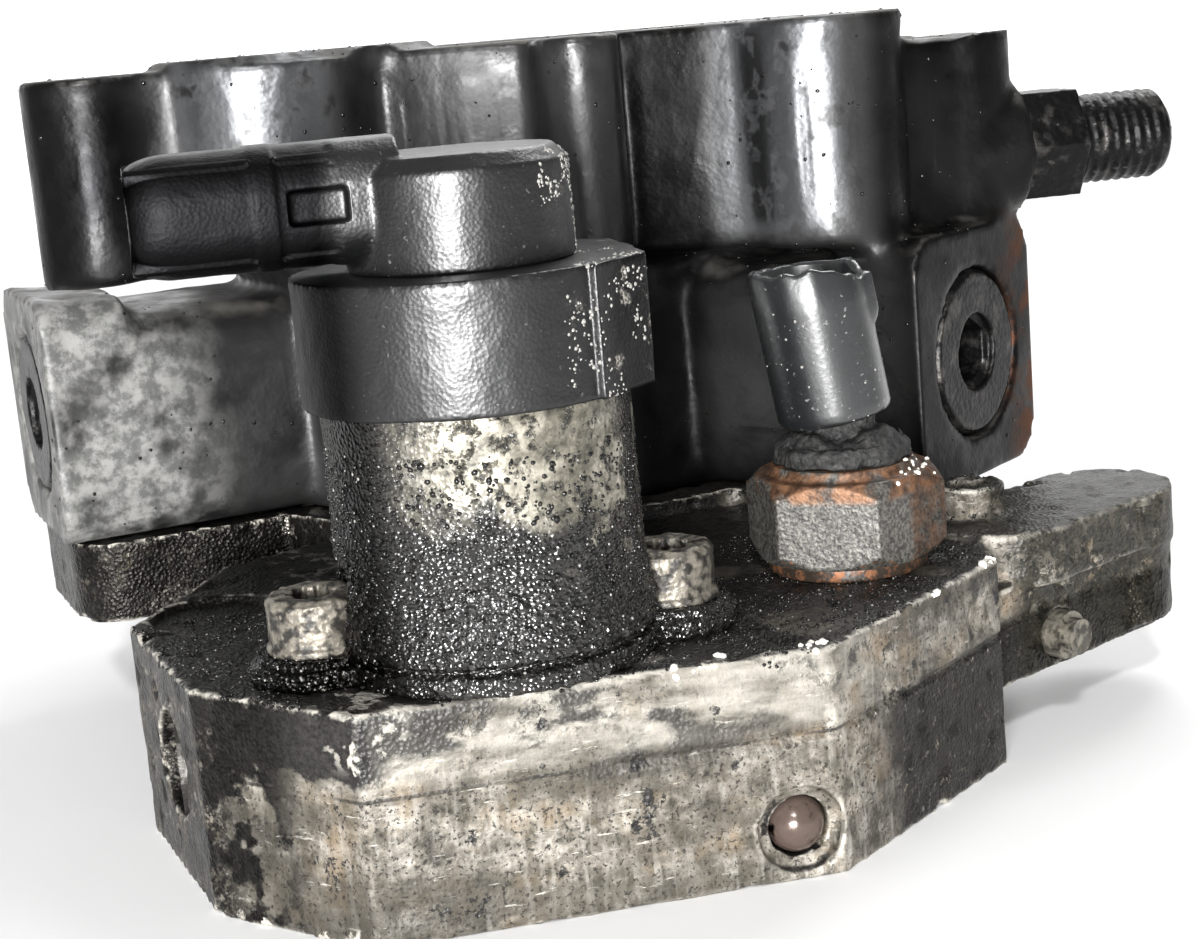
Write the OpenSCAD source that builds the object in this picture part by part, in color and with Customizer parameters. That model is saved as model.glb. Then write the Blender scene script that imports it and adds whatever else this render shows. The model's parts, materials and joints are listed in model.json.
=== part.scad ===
// Radial three-plunger high-pressure fuel pump with an electric metering valve.
// Millimetres. The drive shaft turns about +Z, and the end cover's flat base lies on z = 0.
// An azimuth is measured from -Y towards +X.

/* [Housing] */
// Height of the end cover's seat, where the iron housing starts
seat_z = 27; // [25:0.5:29]
// Height of the top of the plunger lobes
lobe_top_z = 60; // [59:0.5:61]
// Height of the mounting face
face_z = 88; // [86:0.5:92]
// Distance from the shaft axis to a lobe's end face
lobe_reach = 74; // [73:0.5:78]
// Width of a lobe
lobe_w = 32; // [30:1:36]
// Radius of the central drum
drum_r = 42; // [38:1:46]
// Azimuth of the first lobe
lobe_az = 41.5; // [36:0.5:44]
// Radius of the pilot recess in the mounting face
pilot_r = 30; // [28:0.5:32]
// Depth of the pilot recess
pilot_h = 6; // [4:0.5:7]
// Radius of the threaded mounting holes
mount_hole_r = 3.4; // [3:0.1:4.2]
// Depth of the threaded mounting holes
mount_hole_h = 20; // [14:1:22]

/* [Drive] */
// Offset of the eccentric, half of the plungers' stroke
throw = 4.5; // [3.5:0.1:4.6]
// Radius of the eccentric
eccentric_r = 13.5; // [12:0.5:13.5]
// Radius of the shaft in its front bush
front_r = 10; // [9.8:0.1:10.2]
// Radius of the shaft in its rear bush
rear_r = 9; // [8.8:0.1:9.2]
// Distance from the cam ring's centre to its flats
ring_flat = 18; // [17.6:0.1:18]
// Radius of a plunger
plunger_r = 3.25; // [2.8:0.05:3.6]

/* [End cover] */
// Height of the block that carries the metering valve
block_z = 25; // [24:0.5:26]
// Number of teeth on each feed gear
gear_teeth = 10; // [9:1:12]
// Distance between the feed gears' axes
gear_span = 20; // [19.8:0.1:20.4]
// Thickness of the feed gears
gear_h = 7.5; // [5:0.5:7.5]

/* [Metering valve] */
// Distance of the valve's axis in front of the shaft axis
valve_front = 96; // [94:1:98]
// Distance of the valve's axis to the left of the shaft axis
valve_left = 23; // [21:1:25]
// Outer radius of the metal valve body
valve_r = 16.2; // [15.8:0.1:16.6]
// Height of the top of the metal body's visible part
collar_z = 53; // [51:0.5:55]
// Outer radius of the plastic collar
collar_r = 17.9; // [17.5:0.1:18.5]
// Height of the plastic collar
collar_h = 13.5; // [12:0.5:15]
// Radius of the plastic cap
cap_r = 11.8; // [11.6:0.1:12.6]
// Height of the plastic cap above the collar
cap_h = 11.5; // [11:0.5:14]
// Distance between the two valve screws
valve_screw_span = 38.2; // [38.2:0.2:40]

/* [Sensor] */
// Distance across the sensor hexagon's flats
sensor_af = 20.5; // [19:0.5:21]
// Radius of the broken connector shroud
shroud_r = 6.6; // [6.4:0.1:7.2]
// Lean of the broken connector shroud, in degrees
shroud_lean = 9; // [4:1:11]

/* [Outlet] */
// Radius of the outlet fitting's thread
outlet_r = 6; // [5.5:0.5:6]
// Height of the outlet fitting's axis
outlet_z = 68.5; // [68:0.5:70]

/* [Hidden] */
$fn = 64;

lobe_angles = [lobe_az, lobe_az - 120, lobe_az + 120];
lobe_z = (seat_z + lobe_top_z) / 2;
flange_z = lobe_top_z;
flange_left_z = lobe_top_z + 2;

// Stations along a lobe, measured from the shaft axis
cam_r = 27;
foot_s = ring_flat + throw + 0.3;
foot_h = 2.5;
spring_groove = 0.8;
pocket_end = 37;
barrel_end = 51.5;
seat_s = 54;
seat_h = 4;
chamber_end = 63;
seal_s = lobe_reach - 5;

// Where the drive's pieces meet
cam_floor_z = 33;
cam_roof_z = 57;
eccentric_z = 34.5;
eccentric_h = 18.5;
eccentric_top_z = eccentric_z + eccentric_h;
bush_h = 19.5;
seal_z = cam_roof_z + 20.5;
seal_floor_z = face_z - pilot_h;
shaft_end_z = seal_floor_z - 0.4;

// Mounting bosses: place and outer radius
boss_left = [-59.5, -34];
boss_front = [31.5, -51];
boss_back = [8, 64];
mount_bosses = [[boss_left, 8.2], [boss_front, 10.5], [boss_back, 10.5]];
outlet_y = -42;
outlet_x = 59.5;
return_y = -24;
return_z = 52;

// End cover layout
block_front = -112;
valve_x = -valve_left;
valve_y = -valve_front;
sensor_x = 21.3;
sensor_y = -81.2;
ball_x = 4.5;
ball_z = 5.6;
ball_r = 3.2;
gear_z = 4.2;
pocket_z = 12;
arm_from = [36, -78];
arm_to = [61, -63.8];
rib_from = [43.5, -73.7];
arm_low = 8;
arm_z = 26;
bolt_place = arm_from + 0.34 * (arm_to - arm_from);
bolt_z = 12;
arm_turn = atan2(arm_to[1] - arm_from[1], arm_to[0] - arm_from[0]);
foot_z = 16;
foot_reach = [lobe_reach - 8, lobe_reach - 1, lobe_reach - 5];
screw_circle = 38;
screw_azimuths = [0, 75, 125, 235, 320];
overflow_y = -82;
overflow_z = 13;
inlet_x = -22;
inlet_z = 13;
stud_place = [41, -70];
ear_place = [-52, -64];
feed_screws = [for (x = [-15.3, 15.3], y = [0, gear_span]) [x, y]];
step_z = 15.6;

// Metering valve heights
pad_z = block_z + 3;
valve_floor_z = 32;
coil_r = 13.2;
collar_top_z = collar_z + collar_h;
cap_top_z = collar_top_z + cap_h;
socket_left = 33;

// Gear geometry
pressure_angle = 28;
pitch_r = gear_span / 2;
base_r = pitch_r * cos(pressure_angle);
tip_r = pitch_r + 1.4;
root_r = pitch_r - 1.75;

// ---- general shapes ----

// A cylinder along the lobe's axis, which is -Y before the lobe is turned to its azimuth
module station(from, to, r) {
  translate([0, -from, lobe_z]) rotate([90, 0, 0]) cylinder(r = r, h = to - from);
}

module on_each_lobe() {
  for (a = lobe_angles) rotate([0, 0, a]) children();
}

module at_cover_screws() {
  for (a = screw_azimuths) rotate([0, 0, a]) translate([0, -screw_circle, 0]) children();
}

module rod_x(r, from, to, y, z) {
  translate([from, y, z]) rotate([0, 90, 0]) cylinder(r = r, h = to - from);
}

// A flat bar with round ends, from p to q, a little slimmer between its ends
module bar(p, q, r) {
  run = q - p;
  waist = 0.98 * r;
  translate(p) rotate(atan2(run[1], run[0])) translate([0, -waist]) square([norm(run), 2 * waist]);
  translate(p) circle(r = r);
  translate(q) circle(r = r);
}

module rounded(w, h, r) {
  translate([-w / 2, -h / 2 + r]) square([w, h - 2 * r]);
  translate([-w / 2 + r, -h / 2]) square([w - 2 * r, h]);
  for (x = [-1, 1], y = [-1, 1]) translate([x * (w / 2 - r), y * (h / 2 - r)]) circle(r = r);
}

module tube(r_out, r_in, from, to) {
  translate([0, 0, from]) difference() {
    cylinder(r = r_out, h = to - from);
    translate([0, 0, -1]) cylinder(r = r_in, h = to - from + 2);
  }
}

module hexagon(af, h) {
  cylinder(r = af / 2 / cos(30), h = h, $fn = 6);
}

// Points and faces of a round wire that winds up a helix along +Z
function coil_points(r, wire, length, turns, per_turn, sides) = [
  for (i = [0 : turns * per_turn], j = [0 : sides - 1])
    let (a = 360 * i / per_turn, b = 360 * j / sides)
    let (z = wire + (length - 2 * wire) * i / (turns * per_turn))
    [(r + wire * cos(b)) * cos(a), (r + wire * cos(b)) * sin(a), z + wire * sin(b)]
];
function coil_faces(rings, sides) = concat(
  [for (i = [0 : rings - 1], j = [0 : sides - 1])
    [i * sides + j, i * sides + (j + 1) % sides,
     (i + 1) * sides + (j + 1) % sides, (i + 1) * sides + j]],
  [[for (j = [sides - 1 : -1 : 0]) j]],
  [[for (j = [0 : sides - 1]) rings * sides + j]]
);
module coil(r, wire, length, turns, per_turn = 14, sides = 6) {
  polyhedron(
    points = coil_points(r, wire, length, turns, per_turn, sides),
    faces = coil_faces(turns * per_turn, sides),
    convexity = 8
  );
}

// Involute gear outline with its first tooth on +X
function involute(a) = tan(a) - a * PI / 180;
function half_tooth(r) =
  90 / gear_teeth - 0.5
  + (involute(pressure_angle) - involute(acos(min(1, base_r / r)))) * 180 / PI;
flank = [for (i = [0 : 4]) base_r + 0.02 + (tip_r - base_r - 0.02) * i / 4];
function flank_points(a, side) = [
  for (i = [0 : 4])
    let (r = flank[side < 0 ? i : 4 - i])
    [r * cos(a + side * half_tooth(r)), r * sin(a + side * half_tooth(r))]
];
function root_point(a, side) =
  [root_r * cos(a + side * half_tooth(flank[0])), root_r * sin(a + side * half_tooth(flank[0]))];
module gear_outline() {
  polygon([for (k = [0 : gear_teeth - 1])
    let (a = 360 * k / gear_teeth)
    each concat([root_point(a, -1)], flank_points(a, -1), flank_points(a, 1), [root_point(a, 1)])]);
}

// ---- pump housing ----

// The casting is three nodes that meet face to face: the drum, the plunger lobes and the flange
module lobe_solid() {
  translate([0, -30, lobe_z]) rotate([90, 0, 0]) linear_extrude(lobe_reach - 30)
    translate([0, -1.5]) rounded(lobe_w, lobe_top_z - seat_z - 3, 5);
  translate([0, -lobe_reach + 12, lobe_z]) rotate([90, 0, 0]) linear_extrude(12)
    rounded(lobe_w, lobe_top_z - seat_z, 5);
}

module flange_left() {
  translate(boss_left) circle(r = mount_bosses[0][1]);
  bar(boss_left, [-37, -30], 7);
  bar([-37, -30], [0, 0], 15);
}

module flange_right() {
  circle(r = 44);
  for (b = [mount_bosses[1], mount_bosses[2]]) translate(b[0]) circle(r = b[1]);
  bar([1, -47], [0, -30], 5.5);
  bar([12, -40], boss_front, 6);
  bar(boss_front, [20, -20], 10);
  bar(boss_back, [0, 20], 10);
  bar([-40, 34], [0, 0], 9);
  bar([44, 26], [0, 0], 10);
}

// Lower shelf around the outlet
module flange_side() {
  bar([51.5, -42], [31.5, -46], 8);
  bar([51.5, -42], [50, -14], 8.5);
  bar([50, -14], [20, 0], 9);
}

module housing_bores() {
  // Cam space, bearing, seal and pilot bores
  translate([0, 0, seat_z - 1]) cylinder(r = cam_r, h = cam_roof_z - seat_z + 1);
  translate([0, 0, cam_roof_z - 1]) cylinder(r = 13, h = 23);
  translate([0, 0, seal_z]) cylinder(r = 17, h = face_z);
  translate([0, 0, face_z - pilot_h]) cylinder(r = pilot_r, h = pilot_h + 4);
  // Plunger line in each lobe
  on_each_lobe() {
    station(20, pocket_end, 9);
    station(pocket_end - 1, barrel_end + 1, plunger_r + 0.03);
    station(barrel_end, chamber_end + 1, 6);
    station(chamber_end, seal_s + 1, 9.5);
    station(seal_s, lobe_reach + 1, 11.1);
  }
  for (b = mount_bosses)
    translate([b[0][0], b[0][1], face_z - mount_hole_h]) cylinder(r = mount_hole_r, h = mount_hole_h + 4);
  at_cover_screws() translate([0, 0, seat_z - 1]) cylinder(r = 2.5, h = 15);
  // High-pressure outlet and return
  rod_x(outlet_r, 44, outlet_x + 2, outlet_y, outlet_z);
  rod_x(1.5, 30, 45, outlet_y, outlet_z);
  rod_x(3.6, 42, 51, return_y, return_z);
}

module pump_housing() {
  color([0.12, 0.12, 0.13]) difference() {
    translate([0, 0, seat_z]) cylinder(r = drum_r, h = flange_z - seat_z);
    housing_bores();
  }
}

module plunger_lobes() {
  color([0.13, 0.13, 0.14]) difference() {
    union() {
      on_each_lobe() lobe_solid();
      rod_x(5.5, 30, 50, return_y, return_z);
    }
    translate([0, 0, seat_z - 1]) cylinder(r = drum_r, h = face_z);
    translate([0, 0, flange_z]) cylinder(r = 2 * lobe_reach, h = face_z);
    housing_bores();
  }
}

module mounting_flange() {
  color([0.12, 0.12, 0.13]) difference() {
    union() {
      translate([0, 0, flange_left_z]) linear_extrude(face_z - flange_left_z) flange_left();
      translate([0, 0, flange_z]) linear_extrude(face_z - flange_z) flange_right();
      translate([0, 0, flange_z]) linear_extrude(face_z - flange_z - 4) flange_side();
      translate([0, 0, face_z - 1]) linear_extrude(2) bar([-40, -32], [-26, -28], 11);
      rod_x(8.5, 40, outlet_x + 1, outlet_y, outlet_z);
    }
    housing_bores();
  }
}

module lobe_plugs() {
  color([0.1, 0.1, 0.11]) on_each_lobe() difference() {
    union() {
      station(chamber_end, seal_s + 1.2, 9.2);
      station(seal_s + 1, lobe_reach - 0.8, 10.9);
      station(lobe_reach - 0.9, lobe_reach - 0.1, 10.3);
    }
    translate([0, -lobe_reach + 6, lobe_z]) rotate([90, 30, 0]) hexagon(8, 8);
    station(lobe_reach - 1.2, lobe_reach, 5);
  }
}

module plug_seals() {
  color([0.6, 0.35, 0.2]) on_each_lobe() difference() {
    station(seal_s, seal_s + 1, 10.8);
    station(seal_s - 1, seal_s + 2, 9.25);
  }
}

module plungers() {
  color([0.75, 0.75, 0.76]) on_each_lobe() station(foot_s + foot_h, barrel_end - 0.5, plunger_r);
}

module plunger_feet() {
  // A rimmed disc with a centre boss, so that the spring sits in a ring groove
  color([0.6, 0.6, 0.62]) on_each_lobe() {
    difference() {
      station(foot_s, foot_s + foot_h, 8);
      station(foot_s + foot_h - spring_groove, foot_s + foot_h + 1, plunger_r + 3.9);
    }
    station(foot_s + foot_h - 0.9, foot_s + foot_h, plunger_r + 1);
  }
}

module plunger_springs() {
  coil_from = foot_s + foot_h - spring_groove;
  color([0.5, 0.5, 0.52]) on_each_lobe()
    translate([0, -coil_from - 0.05, lobe_z]) rotate([90, 0, 0])
      coil(6.1, 0.75, pocket_end - coil_from - 0.1, 4);
}

module valve_seats() {
  color([0.65, 0.65, 0.67]) on_each_lobe() difference() {
    station(seat_s, seat_s + seat_h, 6);
    station(seat_s - 1, seat_s + seat_h + 1, 1.6);
  }
}

module suction_valve(a) {
  color([0.7, 0.68, 0.6]) rotate([0, 0, a]) {
    station(seat_s - 1.4, seat_s, 3.4);
    station(seat_s - 0.5, seat_s + seat_h + 3.2, 1.55);
    station(seat_s + seat_h + 2.6, seat_s + seat_h + 3.6, 3);
  }
}
module suction_valve_front() { suction_valve(lobe_angles[0]); }
module suction_valve_left() { suction_valve(lobe_angles[1]); }
module suction_valve_back() { suction_valve(lobe_angles[2]); }

module suction_springs() {
  color([0.5, 0.5, 0.52]) on_each_lobe()
    translate([0, -seat_s - seat_h - 0.03, lobe_z]) rotate([90, 0, 0])
      coil(2.4, 0.3, 2.5, 3, per_turn = 12, sides = 5);
}

// ---- shaft group ----

module front_bush() {
  color([0.7, 0.55, 0.3]) tube(13, front_r + 0.04, cam_roof_z + 0.5, cam_roof_z + 0.5 + bush_h);
}

module rear_bush() {
  color([0.7, 0.55, 0.3]) tube(12, rear_r + 0.04, 17, cam_floor_z - 0.5);
}

module thrust_washer() {
  color([0.75, 0.6, 0.35]) tube(18, front_r + 0.4, cam_roof_z - 2, cam_roof_z);
}

module shaft_seal() {
  color([0.15, 0.1, 0.08]) tube(17, front_r - 0.4, seal_z, seal_floor_z - 1.6);
}

module seal_circlip() {
  color([0.45, 0.45, 0.47]) difference() {
    tube(17, 14.6, seal_floor_z - 1.6, seal_floor_z - 0.4);
    translate([0, 15, seal_floor_z - 1]) cube([7, 6, 4], center = true);
  }
}

module at_eccentric() {
  translate([throw * sin(lobe_az), -throw * cos(lobe_az), 0]) children();
}

module drive_shaft() {
  color([0.6, 0.6, 0.62]) difference() {
    union() {
      translate([0, 0, 16]) cylinder(r = rear_r, h = 18);
      translate([0, 0, 33.6]) cylinder(r = rear_r + 2, h = 1);
      at_eccentric() translate([0, 0, eccentric_z]) cylinder(r = eccentric_r, h = eccentric_h);
      translate([0, 0, eccentric_top_z - 0.1]) cylinder(r = front_r, h = seal_z - eccentric_top_z);
      translate([0, 0, seal_z - 0.2]) cylinder(r = front_r - 0.45, h = shaft_end_z - seal_z + 0.2);
    }
    translate([0, 0, shaft_end_z]) cube([30, 6, 9], center = true);
    translate([0, 0, 15.5]) cube([30, 3.2, 6], center = true);
    translate([0, 0, shaft_end_z - 15]) cylinder(r = 2.1, h = 30);
  }
}

module feed_coupling() {
  color([0.55, 0.55, 0.57]) {
    translate([0, 0, 13]) cylinder(r = 7.5, h = 3);
    translate([-6.5, -1.5, 15.5]) cube([13, 3, 2.8]);
    translate([-1.5, -3.4, 10.6]) cube([3, 6.8, 2.8]);
  }
}

module feed_drive_gear() {
  color([0.62, 0.62, 0.64]) difference() {
    translate([0, 0, gear_z]) rotate([0, 0, 90]) linear_extrude(gear_h) gear_outline();
    translate([0, 0, gear_z + gear_h]) cube([3.2, 7.2, 3.2], center = true);
  }
}

module feed_driven_gear() {
  color([0.62, 0.62, 0.64]) difference() {
    translate([0, gear_span, gear_z]) rotate([0, 0, 180 / gear_teeth - 90])
      linear_extrude(gear_h) gear_outline();
    translate([0, gear_span, 0]) cylinder(r = 4.05, h = 30);
  }
}

module gear_pin() {
  color([0.7, 0.7, 0.72]) translate([0, gear_span, 2]) cylinder(r = 4, h = 14);
}

module cam_ring() {
  color([0.58, 0.58, 0.6]) at_eccentric() difference() {
    translate([0, 0, eccentric_z + 0.5]) cylinder(r = 20, h = eccentric_h - 1);
    translate([0, 0, eccentric_z - 1]) cylinder(r = 15.5, h = eccentric_h + 2);
    for (a = lobe_angles) rotate([0, 0, a])
      translate([-20, -ring_flat - 10, eccentric_z - 1]) cube([40, 10, eccentric_h + 2]);
  }
}

module ring_bush() {
  color([0.75, 0.6, 0.35]) at_eccentric()
    tube(15.5, eccentric_r + 0.04, eccentric_z + 0.5, eccentric_z + eccentric_h - 0.5);
}

// ---- end cover and feed pump ----

module block_outline() {
  polygon([
    [-40.5, block_front], [9, block_front], [37, -88.6], [42, -60],
    [20, -30], [-30, -30], [-50, -42], [-62, -66], [-56, -95.5]
  ]);
}

// Thin feet under the plunger lobes
module feet_outline() {
  for (i = [0 : 2]) rotate(lobe_angles[i]) translate([0, -foot_reach[i] / 2])
    rounded(lobe_w, foot_reach[i], 7);
}

module end_cover() {
  color([0.62, 0.6, 0.55]) difference() {
    union() {
      linear_extrude(block_z) block_outline();
      cylinder(r = 47, h = seat_z);
      translate([0, 0, foot_z]) linear_extrude(seat_z - foot_z) feet_outline();
      // Arm with a recessed flank under its top rib
      translate([0, 0, arm_low]) linear_extrude(arm_z - arm_low - 6) bar(arm_from, arm_to, 7.5);
      translate([0, 0, arm_z - 7]) linear_extrude(7) bar(rib_from, arm_to, 9.5);
      translate([arm_to[0], arm_to[1], arm_low + 1]) cylinder(r = 9, h = arm_z - arm_low - 1);
      translate([stud_place[0], stud_place[1], block_z]) cylinder(r = 4.5, h = 5);
      // Spigot in the housing's cam bore
      translate([0, 0, seat_z - 1]) cylinder(r = cam_r - 0.04, h = cam_floor_z - seat_z + 1);
    }
    // Machined step around the block's front
    translate([0, 0, step_z]) linear_extrude(0.5) difference() {
      translate([-14, -130]) square([60, 60]);
      polygon([[-60, block_front + 0.5], [9, block_front + 0.5], [36.4, -88.8], [41, -60], [-60, -60]]);
    }
    // Rear bush, coupling and feed gear spaces
    translate([0, 0, 17]) cylinder(r = 12, h = 30);
    translate([0, 0, pocket_z - 1]) cylinder(r = 9.5, h = 7);
    for (y = [0, gear_span])
      translate([0, y, -1]) cylinder(r = tip_r + 0.15, h = pocket_z + 1);
    translate([0, 0, -1]) linear_extrude(5) bar([0, 0], [0, gear_span], 19);
    translate([0, gear_span, 4]) cylinder(r = 4, h = 12);
    for (p = feed_screws) translate([p[0], p[1], 1]) cylinder(r = 1.65, h = 10);
    // Screws into the housing, from below
    at_cover_screws() {
      translate([0, 0, -1]) cylinder(r = 2.7, h = 40);
      translate([0, 0, -1]) cylinder(r = 5, h = 9);
    }
    // Seal groove in the seat
    tube(34, 31, seat_z - 1.6, seat_z + 1);
    // Metering valve bore, sensor bore, ball plug and threaded holes
    translate([valve_x, valve_y, 5]) cylinder(r = 8, h = 30);
    for (x = [-1, 1])
      translate([valve_x + x * valve_screw_span / 2, valve_y, 10]) cylinder(r = 2.9, h = 30);
    translate([sensor_x, sensor_y, 8]) cylinder(r = 6, h = 30);
    translate([ball_x, block_front, ball_z]) rotate([-90, 0, 0]) {
      translate([0, 0, -1]) cylinder(r = ball_r + 0.02, h = 9);
      translate([0, 0, -1]) cylinder(r = 4.6, h = 2.2);
      translate([0, 0, 5]) cylinder(r = 1.8, h = 20);
    }
    translate([stud_place[0], stud_place[1], 14]) cylinder(r = 2.2, h = 30);
    translate([ear_place[0], ear_place[1], block_z - 1]) cylinder(r = 7.5, h = 3);
    // Arm bolt hole, across the arm
    at_arm_bolt() translate([0, 0, -12]) cylinder(r = 3, h = 30);
    // Overflow valve bore in the left side face, and the inlet bore at the back
    rod_x(6, -80, -40, overflow_y, overflow_z);
    rod_x(2.5, -41, -30, overflow_y, overflow_z);
    translate([inlet_x, 56, inlet_z]) rotate([90, 0, 0]) cylinder(r = 5, h = 22);
  }
}

module cover_screws() {
  color([0.3, 0.3, 0.31]) at_cover_screws() difference() {
    union() {
      translate([0, 0, 2]) cylinder(r = 4.7, h = 6);
      translate([0, 0, 7]) cylinder(r = 2.48, h = 30);
    }
    translate([0, 0, 1]) hexagon(5, 4);
  }
}

module cover_seal() {
  color([0.1, 0.1, 0.1]) translate([0, 0, seat_z - 0.8])
    rotate_extrude() translate([32.5, 0]) circle(r = 0.78);
}

module feed_cover() {
  color([0.5, 0.5, 0.5]) difference() {
    linear_extrude(4) bar([0, 0], [0, gear_span], 18.95);
    for (p = feed_screws) {
      translate([p[0], p[1], -1]) cylinder(r = 1.75, h = 10);
      translate([p[0], p[1], -1]) cylinder(r = 2.9, h = 3);
    }
    translate([0, gear_span, 2]) cylinder(r = 4, h = 5);
  }
}

module feed_cover_screws() {
  color([0.4, 0.4, 0.42]) for (p = feed_screws) translate([p[0], p[1], 0]) difference() {
    union() {
      translate([0, 0, 0.3]) cylinder(r = 2.8, h = 1.7);
      translate([0, 0, 1.5]) cylinder(r = 1.6, h = 9);
    }
    translate([-0.5, -4, 0]) cube([1, 8, 1]);
  }
}

module ball_plug() {
  color([0.35, 0.3, 0.28]) translate([ball_x, block_front + 3, ball_z]) sphere(r = ball_r);
}

// The frame of the bolt across the arm, with +Z from front to back
module at_arm_bolt() {
  translate([bolt_place[0], bolt_place[1], bolt_z]) rotate([-90, 0, arm_turn]) children();
}

module arm_bolt() {
  color([0.4, 0.38, 0.35]) at_arm_bolt() {
    translate([0, 0, -9]) cylinder(r = 2.97, h = 15);
    translate([0, 0, -10.5]) cylinder(r = 2.2, h = 3);
  }
}

module overflow_plug() {
  color([0.3, 0.3, 0.31]) difference() {
    rod_x(5.97, -58, -52, overflow_y, overflow_z);
    translate([-59, overflow_y, overflow_z]) rotate([0, 90, 0]) hexagon(5, 4);
  }
}

module overflow_piston() {
  color([0.7, 0.7, 0.72]) difference() {
    rod_x(5.94, -46.8, -40.2, overflow_y, overflow_z);
    rod_x(4, -47, -43, overflow_y, overflow_z);
  }
}

module overflow_spring() {
  color([0.5, 0.5, 0.52]) translate([-51.95, overflow_y, overflow_z]) rotate([0, 90, 0])
    coil(3, 0.45, 8.8, 5, per_turn = 12, sides = 5);
}

module inlet_stub() {
  color([0.45, 0.45, 0.46]) translate([inlet_x, 0, inlet_z]) rotate([-90, 0, 0]) difference() {
    union() {
      translate([0, 0, 38]) cylinder(r = 4.9, h = 13);
      translate([0, 0, 52]) cylinder(r = 4.98, h = 16);
      translate([0, 0, 50]) cylinder(r = 6.5, h = 3);
      translate([0, 0, 67.9]) cylinder(r1 = 4.98, r2 = 4.5, h = 0.6);
    }
    translate([0, 0, 37]) cylinder(r = 3.6, h = 40);
  }
}

module return_stub() {
  color([0.12, 0.12, 0.12]) difference() {
    union() {
      rod_x(3.5, 43, 51, return_y, return_z);
      rod_x(5, 50, 53, return_y, return_z);
      rod_x(3.6, 52, 68, return_y, return_z);
      rod_x(3.2, 67, 68.5, return_y, return_z);
    }
    rod_x(2.3, 42, 70, return_y, return_z);
  }
}

// ---- high-pressure outlet ----

module outlet_fitting() {
  color([0.16, 0.15, 0.15]) difference() {
    union() {
      rod_x(outlet_r - 0.01, 47, outlet_x + 1, outlet_y, outlet_z);
      translate([outlet_x + 1, outlet_y, outlet_z]) rotate([90, 0, 90]) hexagon(14, 8);
      rod_x(outlet_r - 0.4, outlet_x + 8, outlet_x + 10, outlet_y, outlet_z);
      rod_x(outlet_r, outlet_x + 9.5, outlet_x + 21, outlet_y, outlet_z);
      translate([outlet_x + 21, outlet_y, outlet_z]) rotate([0, 90, 0])
        cylinder(r1 = outlet_r, r2 = outlet_r - 1.2, h = 1.2);
    }
    rod_x(3, 46, 58, outlet_y, outlet_z);
    rod_x(1.5, 57, outlet_x + 30, outlet_y, outlet_z);
    translate([outlet_x + 20.2, outlet_y, outlet_z]) rotate([0, 90, 0])
      cylinder(r1 = 1.4, r2 = 4, h = 2.2);
  }
}

module outlet_ball() {
  color([0.7, 0.7, 0.72]) translate([45.9, outlet_y, outlet_z]) sphere(r = 2.4);
}

module outlet_spring() {
  color([0.5, 0.5, 0.52]) translate([48.4, outlet_y, outlet_z]) rotate([0, 90, 0])
    coil(1.7, 0.35, 9.5, 6, per_turn = 12, sides = 5);
}

// ---- metering valve ----

module at_valve() {
  translate([valve_x, valve_y, 0]) children();
}

module valve_body() {
  half = valve_screw_span / 2;
  color([0.55, 0.52, 0.46]) at_valve() difference() {
    union() {
      translate([0, 0, block_z]) linear_extrude(pad_z - block_z - 1) {
        circle(r = valve_r + 1.2);
        bar([-half, 0], [half, 0], 7);
      }
      for (x = [-half, half]) translate([x, 0, block_z]) cylinder(r = 6.3, h = pad_z - block_z);
      translate([0, 0, block_z + 3]) cylinder(r1 = valve_r + 1.2, r2 = valve_r, h = 8);
      translate([0, 0, block_z]) cylinder(r = valve_r, h = collar_z + 5 - block_z);
      translate([0, 0, 9]) cylinder(r = 7.98, h = block_z - 8);
    }
    translate([0, 0, valve_floor_z]) cylinder(r = coil_r, h = 60);
    for (x = [-half, half]) translate([x, 0, pad_z]) cylinder(r = 5.35, h = 8.5);
    translate([0, 0, 20]) cylinder(r = 1.35, h = 20);
    translate([0, 0, 0]) cylinder(r = 6.6, h = 23);
    for (x = [-half, half]) translate([x, 0, 0]) cylinder(r = 3.1, h = 60);
    for (z = [11, 17]) tube(9, 6.9, z, z + 2);
  }
}

module valve_screws() {
  color([0.4, 0.38, 0.34]) at_valve() for (x = [-1, 1]) translate([x * valve_screw_span / 2, 0, 0])
    difference() {
      union() {
        translate([0, 0, pad_z]) cylinder(r = 5.3, h = 0.8);
        translate([0, 0, pad_z]) cylinder(r = 5, h = 5.5);
        translate([0, 0, pad_z + 5.4]) cylinder(r1 = 5, r2 = 4.4, h = 0.6);
        translate([0, 0, 12]) cylinder(r = 2.88, h = pad_z - 11);
      }
      for (a = [0, 60, 120]) rotate([0, 0, a]) translate([0, 0, pad_z + 4.5])
        cube([5.4, 1.6, 4], center = true);
      translate([0, 0, pad_z + 2.2]) cylinder(r = 2.2, h = 5);
    }
}

module valve_seals() {
  color([0.1, 0.1, 0.1]) at_valve() for (z = [12, 18])
    translate([0, 0, z]) rotate_extrude() translate([7.43, 0]) circle(r = 0.5);
}

module valve_collar() {
  color([0.1, 0.1, 0.1]) at_valve() difference() {
    translate([0, 0, collar_z]) linear_extrude(collar_h) {
      circle(r = collar_r);
      polygon([[10.5, -15.6], [17.5, -8.5], [17.5, 8.5], [10.5, 15.6]]);
    }
    translate([0, 0, collar_z - 1]) cylinder(r = valve_r, h = 6.01);
    translate([0, 0, collar_z]) cylinder(r = 11, h = 30);
  }
}

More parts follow.
